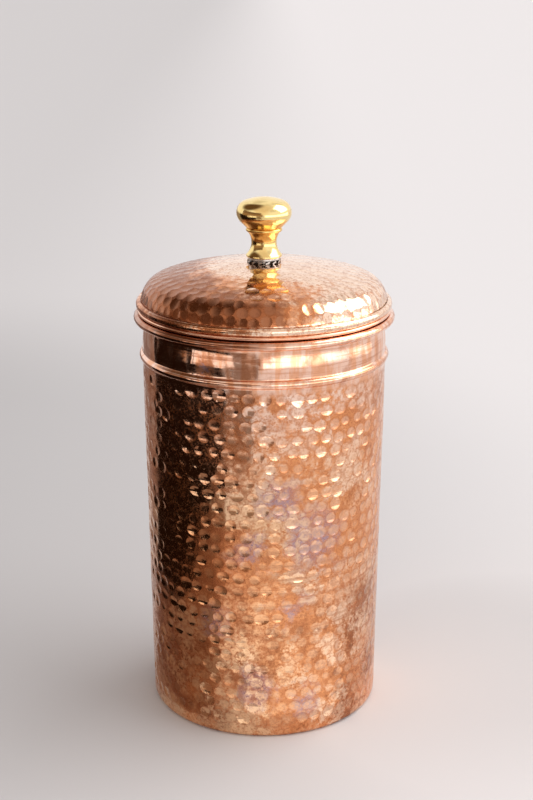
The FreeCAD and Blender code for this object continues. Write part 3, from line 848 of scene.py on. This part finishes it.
def neck_skin(skin):
    """The smooth neck and rim: drawn and brushed lines, painted shade under the rim on the left,
    one small stain.
    """
    drawn = skin.noise(45.0, 4.0, 0.6, 0.0, skin.scaled((6.0, 6.0, 1.0)))
    dull = skin.noise(80.0, 5.0, 0.68, 0.4)
    brushed = skin.noise(55.0, 3.0, 0.65, 0.0, skin.scaled((0.5, 0.5, 20.0)))
    base = skin.mix(skin.ramp(drawn, 0.42, 0.60, 0.0, 0.65), NECK_COPPER, ORANGE_COPPER)
    base = skin.mix(skin.ramp(dull, 0.50, 0.63, 0.0, 0.55), base, RUSSET_COPPER)
    base = skin.mix(skin.ramp(brushed, 0.50, 0.66, 0.0, 0.6), base, RUSSET_COPPER)
    # painted shade: a brown band just under the rim on the left side
    facing_left = skin.ramp(skin.dot((-1.0, 0.0, 0.0)), -0.02, 0.01)
    painted_rim_shade = skin.times(skin.ramp(skin.up, *PAINTED_RIM_SHADE), facing_left)
    base = skin.mix(skin.times(painted_rim_shade, 0.6), base, BROWN_COPPER)
    ragged = skin.ramp(skin.fine, 0.3, 0.7, -1.5 * MM, 1.5 * MM)
    away = skin.math("ADD", skin.distance(STAIN_PLACE), ragged)
    stained = skin.ramp(away, 6 * MM, 3 * MM, 0.0, 0.85)
    base = skin.mix(stained, base, RUSSET_COPPER)
    base = skin.mix(skin.ramp(away, 2.8 * MM, 1 * MM, 0.0, 0.7), base, VIOLET_COPPER)
    rough = skin.weigh((skin.ramp(dull, 0.42, 0.68, 0.08, 0.18), 1.0), (stained, 0.1),
                       (skin.ramp(brushed, 0.50, 0.66), 0.10))
    return base, rough


def wall_copper():
    """The wall's skin, hammered up to the bead and smooth above it."""
    skin = Copper("wall_copper")
    base, rough = wall_tarnish(skin)
    base = spun_lines(skin, base)
    neck_base, neck_rough = neck_skin(skin)
    neck = skin.ramp(skin.up, *NECK_START)
    return skin.finish(skin.mix(neck, base, neck_base), skin.blend(neck, rough, neck_rough))


def lid_copper():
    """The dome's skin: painted shade browns it on the left and on the shoulder at the front left,
    pale on the crown.
    """
    skin = Copper("lid_copper")
    # painted shade: the left side and the front-left shoulder are painted browner
    side = skin.ramp(skin.dot(PAINTED_SHADE_SIDE), -0.020, 0.045)
    shoulder = skin.ramp(skin.up, *LID_SHOULDER)
    front = skin.ramp(skin.dot(PAINTED_SHADE_FRONT), 0.015, 0.052)
    crown = skin.ramp(skin.up, *LID_CROWN)
    roll = skin.ramp(skin.up, *LID_ROLL_TOP)
    hub = skin.ramp(skin.distance((0.0, 0.0, SEAT_HEIGHT)), 40 * MM, 16 * MM)
    # painted shade on the left and front-left shoulder, less tarnish on the crown, the roll and
    # round the knob
    painted_shade_and_wear = skin.weigh((side, 0.22), (skin.times(shoulder, front), 0.13), (crown, -0.06),
                      (roll, -0.24), (hub, -0.12))
    turned = skin.weigh((skin.large, 0.40), (skin.medium, 0.34), (skin.fine, 0.26), (painted_shade_and_wear, 1.0))
    turned = skin.ramp(turned, 0.50, 0.61)
    brown = skin.weigh((skin.stains, 0.50), (skin.medium, 0.28), (skin.fine, 0.22), (painted_shade_and_wear, 0.9))
    brown = skin.times(skin.ramp(brown, 0.52, 0.67), 0.82)
    # the blows' dark edges, partly painted shade, are strongest low on the dome
    outline = skin.ramp(skin.up, *LID_OUTLINES, 0.55, 0.16)
    return skin.finish(*skin.tarnished(CREAM_COPPER, turned, brown, 0.0, 0.18, outline))


def plain_copper():
    """Smooth copper sheet with fine brushed lines around it."""
    skin = Surface("plain_copper")
    brushed = skin.noise(60.0, 3.0, 0.6, 0.0, skin.scaled((1.0, 1.0, 60.0)))
    dull = skin.ramp(skin.noise(70.0, 5.0, 0.65), 0.35, 0.70, 0.1, 0.7)
    base = skin.mix(dull, NECK_COPPER, ORANGE_COPPER)
    skin.colour(skin.mix(skin.ramp(brushed, 0.55, 0.75, 0.0, 0.4), base, BROWN_COPPER))
    skin.roughness(skin.ramp(brushed, 0.3, 0.7, 0.12, 0.22))
    skin.bump(brushed, 0.3, FINE_RELIEF)
    return skin.material


def polished_brass():
    """Turned and polished brass, darker in the waist, with faint tool lines and handling haze."""
    skin = Surface("polished_brass")
    haze = skin.noise(220.0, 4.0, 0.6)
    lines = skin.noise(40.0, 2.0, 0.5, 0.0, skin.scaled((1.0, 1.0, 90.0)))
    waist = skin.times(skin.ramp(skin.up, *WAIST_TOP), skin.ramp(skin.up, *WAIST_FOOT))
    base = skin.mix(skin.ramp(haze, 0.45, 0.75, 0.0, 0.35), BRASS, DARK_BRASS)
    skin.colour(skin.mix(skin.times(waist, 0.6), base, DARK_BRASS))
    skin.roughness(skin.ramp(haze, 0.35, 0.75, 0.10, 0.18))
    skin.bump(lines, 0.12, 0.03 * MM)
    return skin.material


def steel(name, colour, rough_low, rough_high):
    """Plated steel, slightly dulled."""
    skin = Surface(name)
    haze = skin.noise(900.0, 3.0, 0.6)
    dark = tuple(0.45 * part for part in colour)
    skin.colour(skin.mix(skin.ramp(haze, 0.4, 0.7, 0.0, 0.6), colour, dark))
    skin.roughness(skin.ramp(haze, 0.3, 0.7, rough_low, rough_high))
    skin.bump(haze, 0.3, 0.03 * MM)
    return skin.material


def give(target, material):
    """Put one material on every slot of an object."""
    if not target.material_slots:
        target.data.materials.append(material)
    for held in target.material_slots:
        held.material = material


# ------------------------------------------------------------------ object

wall = make_wall()
lid = make_lid()
collar = make_collar()
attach(wall, "canister")
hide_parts("body_wall")
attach(lid, "lid")
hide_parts("lid_dome")
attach(collar, "lid")
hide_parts("lid_collar")

copper_sheet = plain_copper()
give(wall, wall_copper())
give(lid, lid_copper())
give(collar, copper_sheet)
give(NODES["base_pan"], copper_sheet)
give(NODES["knob"], polished_brass())
bright_steel = steel("bright_steel", STEEL, 0.25, 0.45)
for fixing in ("plain_washer", "tooth_washer", "inner_washer", "spring_washer", "knob_screw"):
    give(NODES[fixing], bright_steel)
edge_wire = steel("edge_wire", WIRE_STEEL, 0.35, 0.55)
for wire in ("rim_wire", "lid_rim_wire"):
    give(NODES[wire], edge_wire)


# ------------------------------------------------------------------ stage

FLOOR_COLOUR = (0.845, 0.85, 0.87)
SHADED_SHARE = 0.77
FLOOR_SIZE = 60.0
BACKDROP_COLOUR = (0.62, 0.59, 0.585)
BACKDROP_REACH = 12.0
BACKDROP_PANELS = 36
CARD_LIFT = 0.4 * MM
TOP_CARD_LIFT = 0.6 * MM
ROOM_COLOUR = (0.86, 0.85, 0.86)
ROOM_STRENGTH = 0.99
NEUTRAL_GLOW = (1.0, 0.97, 0.95)
AMBER_GLOW = (1.0, 0.62, 0.40)
LIGHT_AZIMUTH = 98
OBJECT_MIDDLE = (0.0, 0.0, 0.12)
EXPOSURE = 0.27
LENS = 67.5
SENSOR = 36.0
CAMERA_PLACE = (0.0011, -0.6581, 0.3516)
CAMERA_TILT = 17.476


def plate(name, corners):
    """Flat staged face from its corners."""
    mesh = bpy.data.meshes.new(name)
    mesh.from_pydata(corners, [], [tuple(range(len(corners)))])
    made = bpy.data.objects.new(name, mesh)
    bpy.context.scene.collection.objects.link(made)
    return made


def make_floor():
    """Large plain pale floor, with painted shade that darkens it on the left and a painted shadow
    just right of the foot.
    """
    half = FLOOR_SIZE / 2
    floor = plate("floor", [(-half, -half, 0), (half, -half, 0), (half, half, 0), (-half, half, 0)])
    skin = Surface("pale_floor", metallic=0.0)
    # painted shade: the floor darkens towards the left, away from the light
    lit = skin.ramp(skin.dot((1.0, 0.0, 0.0)), -0.35, 0.20)
    pale = skin.mix(lit, tuple(SHADED_SHARE * part for part in FLOOR_COLOUR), FLOOR_COLOUR)
    # painted shade in a patch to the left behind the object, and a painted shadow just right of the
    # foot
    corner = skin.ramp(skin.distance((-0.30, 0.25, 0.0)), 0.60, 0.22, 0.0, 0.20)
    painted_shadow_by_foot = skin.ramp(skin.distance((0.10, 0.03, 0.0)), 0.16, 0.05, 0.0, 0.15)
    skin.colour(skin.mix(skin.math("MAXIMUM", corner, painted_shadow_by_foot), pale, (0.0, 0.0, 0.0)))
    skin.shader.inputs["Roughness"].default_value = 0.6
    skin.shader.inputs["Specular IOR Level"].default_value = 0.0
    give(floor, skin.material)


def glow(name, colour, strength):
    """Emission of one colour."""
    material = bpy.data.materials.new(name)
    material.use_nodes = True
    tree = material.node_tree
    tree.nodes.clear()
    output = tree.nodes.new("ShaderNodeOutputMaterial")
    shader = tree.nodes.new("ShaderNodeEmission")
    shader.inputs["Color"].default_value = colour + (1.0,)
    shader.inputs["Strength"].default_value = strength
    tree.links.new(shader.outputs[0], output.inputs["Surface"])
    return material


def polar(azimuth, distance, height):
    """Point around the object: azimuth 0 is towards the camera, positive to its right."""
    turn = math.radians(azimuth)
    return (distance * math.sin(turn), -distance * math.cos(turn), height)


def upright(left, right, distance, low, high):
    """Corners of a standing face between two azimuths and two heights."""
    return [polar(left, distance, low), polar(right, distance, low),
            polar(right, distance, high), polar(left, distance, high)]


def sector(left, right, near, far, height):
    """Corners of a lying face between two azimuths and two distances."""
    return [polar(left, near, height), polar(right, near, height),
            polar(right, far, height), polar(left, far, height)]


def seen_only_by(made, kind):
    """Hide a staged face from every kind of ray but one."""
    for ray in ("camera", "diffuse", "glossy", "transmission", "volume_scatter", "shadow"):
        setattr(made, f"visible_{ray}", ray == kind)


def make_backdrop():
    """Pale wall round the floor, seen only by the camera, so that the floor ends softly."""
    tone = glow("backdrop_tone", BACKDROP_COLOUR, 1.0)
    turn = 360 / BACKDROP_PANELS
    for step in range(BACKDROP_PANELS):
        corners = upright(turn * step, turn * (step + 1), BACKDROP_REACH, 0, BACKDROP_REACH)
        panel = plate(f"backdrop_{step}", corners)
        seen_only_by(panel, "camera")
        give(panel, tone)


def card(name, corners, material):
    """Studio card seen only in reflections."""
    made = plate(name, corners)
    seen_only_by(made, "glossy")
    give(made, material)


def standing_card(name, first, last, distance, low, high, material):
    """Card on an arc around the object, between two azimuths and two elevations in degrees."""
    steps = max(1, round(abs(last - first) / 10))
    feet = distance * math.tan(math.radians(low)) + 0.1
    top = distance * math.tan(math.radians(high)) + 0.1
    for step in range(steps):
        left = first + (last - first) * step / steps
        right = first + (last - first) * (step + 1) / steps
        card(f"{name}_{step}", upright(left, right, distance, feet, top), material)


def shaded_cards():
    """The unlit floor to the front left that the dark side of the wall mirrors, and its edges."""
    level = CARD_LIFT
    card("dark_floor", [(-0.155, 0.090, level), (-0.158, -0.030, level), (-0.200, -0.115, level),
                        (-0.240, -0.200, level), (-0.262, -0.370, level), polar(-31, 0.90, level),
                        polar(-30, 6.0, level), polar(-78, 6.0, level), polar(-118, 3.0, level)],
         glow("gloom", (1.0, 0.42, 0.20), 0.010))
    card("shaded_floor", [(-0.155, 0.0895, level), polar(-100, 0.062, level),
                          polar(-70, 0.062, level), polar(-40, 0.062, level),
                          polar(-33, 0.120, level), polar(-33, 0.250, level),
                          (-0.2615, -0.3695, level), (-0.2395, -0.1995, level),
                          (-0.1995, -0.1145, level), (-0.1575, -0.030, level)],
         glow("shadow", (1.0, 0.66, 0.50), 0.22))
    card("dim_floor", [(-0.155, 0.0905, level), polar(-118.5, 3.0, level), polar(-165, 3.0, level),
                       (-0.20, 0.26, level)], glow("dim", (1.0, 0.78, 0.70), 0.24))


def floor_cards():
    """The floor in front: strips that brighten to the right, dusk further off, and a lit part."""
    last_strip = 6
    for step in range(last_strip + 1):
        colour = (1.0, 0.68 + 0.04 * step, 0.52 + 0.06 * step)
        strip = glow(f"strip_{step}", colour, 0.20 + 0.62 * (step / last_strip) ** 0.5)
        left = -48 + 5 * step
        card(f"strip_floor_{step}", sector(left, left + 5, 0.118, 0.26, TOP_CARD_LIFT), strip)
    for near, far, strength in ((0.36, 0.42, 0.42), (0.42, 1.70, 0.23)):
        name = f"dusk_floor_{100 * far:.0f}"
        dusk = glow(name, (1.0, 0.74, 0.60), strength)
        card(name, sector(-32, -11, near, far, TOP_CARD_LIFT), dusk)
    level = CARD_LIFT
    card("lit_floor", [polar(-13, 0.075, level), polar(-13, 0.20, level), polar(10, 0.22, level),
                       polar(60, 0.20, level), polar(60, 0.075, level), polar(15, 0.070, level)],
         glow("lit_floor", NEUTRAL_GLOW, 0.90))


def room_cards():
    """A dark wall on the left with three windows in it, and a lit strip on the right."""
    standing_card("dark_wall", -4, -100, 2.2, -9.0, 13.0, glow("dusk", AMBER_GLOW, 0.26))
    standing_card("dark_wall_high", -12, -100, 2.2, 13.0, 28.0, glow("dusk_high", AMBER_GLOW, 0.16))
    sill = glow("sill", (1.0, 0.62, 0.42), 0.42)
    pane = glow("pane", (1.0, 0.88, 0.80), 1.00)
    for first, last in ((-31, -46.5), (-48, -64), (-66.5, -71)):
        standing_card(f"sill_left_{-first:.0f}", first, last, 0.80, -15.0, -8.5, sill)
        standing_card(f"window_left_{-first:.0f}", first, last, 0.79, -8.5, 6.0, pane)
    for low, high, strength in ((-12, -7, 0.82), (-7, -3, 1.15), (-3, 1, 1.8), (1, 10, 2.1)):
        lit = glow(f"lit_{high}", NEUTRAL_GLOW, strength)
        standing_card(f"lit_strip_{high}", 4, 118, 0.95, low, high, lit)


def make_world():
    """Pale surroundings: uneven overhead, dimmer towards the front, darkest above the left side."""
    world = bpy.data.worlds.new("studio")
    bpy.context.scene.world = world
    world.use_nodes = True
    sky = world.node_tree.nodes["Background"]
    sky.inputs["Strength"].default_value = ROOM_STRENGTH
    nodes = Nodes(world.node_tree, "Generated")

    def toward(direction, low, high):
        """How much a direction lies towards the given one: 0 at low, 1 at high."""
        return nodes.ramp(nodes.dot(Vector(direction).normalized()), low, high)

    uneven = nodes.ramp(nodes.noise(4.5, 3.0, 0.5), 0.46, 0.60)
    overhead = nodes.times(uneven, toward((0.0, 0.0, 1.0), 0.40, 0.62))
    room = nodes.mix(overhead, ROOM_COLOUR, (0.62, 0.58, 0.57))
    room = nodes.mix(toward((-0.15, -0.80, 0.58), 0.78, 0.96), room, (0.80, 0.70, 0.62))
    room = nodes.mix(toward((-0.10, -0.35, 0.93), 0.70, 0.95), room, (0.68, 0.58, 0.51))
    room = nodes.mix(toward((-0.54, 0.13, 0.83), 0.77, 0.95), room, (0.10, 0.055, 0.028))
    nodes.link(room, sky.inputs["Color"])


def aimed(light, place):
    """Put a light somewhere and point it at the object."""
    lamp = bpy.data.objects.new(light.name, light)
    bpy.context.scene.collection.objects.link(lamp)
    lamp.location = place
    aim = Vector(OBJECT_MIDDLE) - Vector(place)
    lamp.rotation_euler = aim.to_track_quat("-Z", "Y").to_euler()
    lamp.visible_camera = False
    return lamp


def make_lights():
    """A large soft window on the right that only the metal mirrors, and an even soft fill."""
    window = bpy.data.lights.new("window", "AREA")
    window.shape = "RECTANGLE"
    window.size = 2.4
    window.size_y = 2.6
    window.energy = 52.0
    window.color = (1.0, 0.98, 0.97)
    aimed(window, polar(LIGHT_AZIMUTH, 2.3, 2.0)).visible_diffuse = False
    fill = bpy.data.lights.new("fill", "SUN")
    fill.angle = math.radians(70)
    fill.energy = 1.1
    fill.color = (1.0, 0.98, 0.98)
    aimed(fill, polar(LIGHT_AZIMUTH, 2.0, 1.9)).visible_glossy = False


def make_camera():
    """Camera in front, looking down at the object."""
    camera = bpy.data.cameras.new("camera")
    camera.lens = LENS
    camera.sensor_width = SENSOR
    holder = bpy.data.objects.new("camera", camera)
    bpy.context.scene.collection.objects.link(holder)
    holder.location = CAMERA_PLACE
    holder.rotation_euler = (math.radians(90 - CAMERA_TILT), 0.0, 0.0)
    bpy.context.scene.camera = holder


make_floor()
make_backdrop()
make_world()
shaded_cards()
floor_cards()
room_cards()
make_lights()
make_camera()
bpy.context.scene.view_settings.view_transform = "Standard"
bpy.context.scene.view_settings.exposure = EXPOSURE
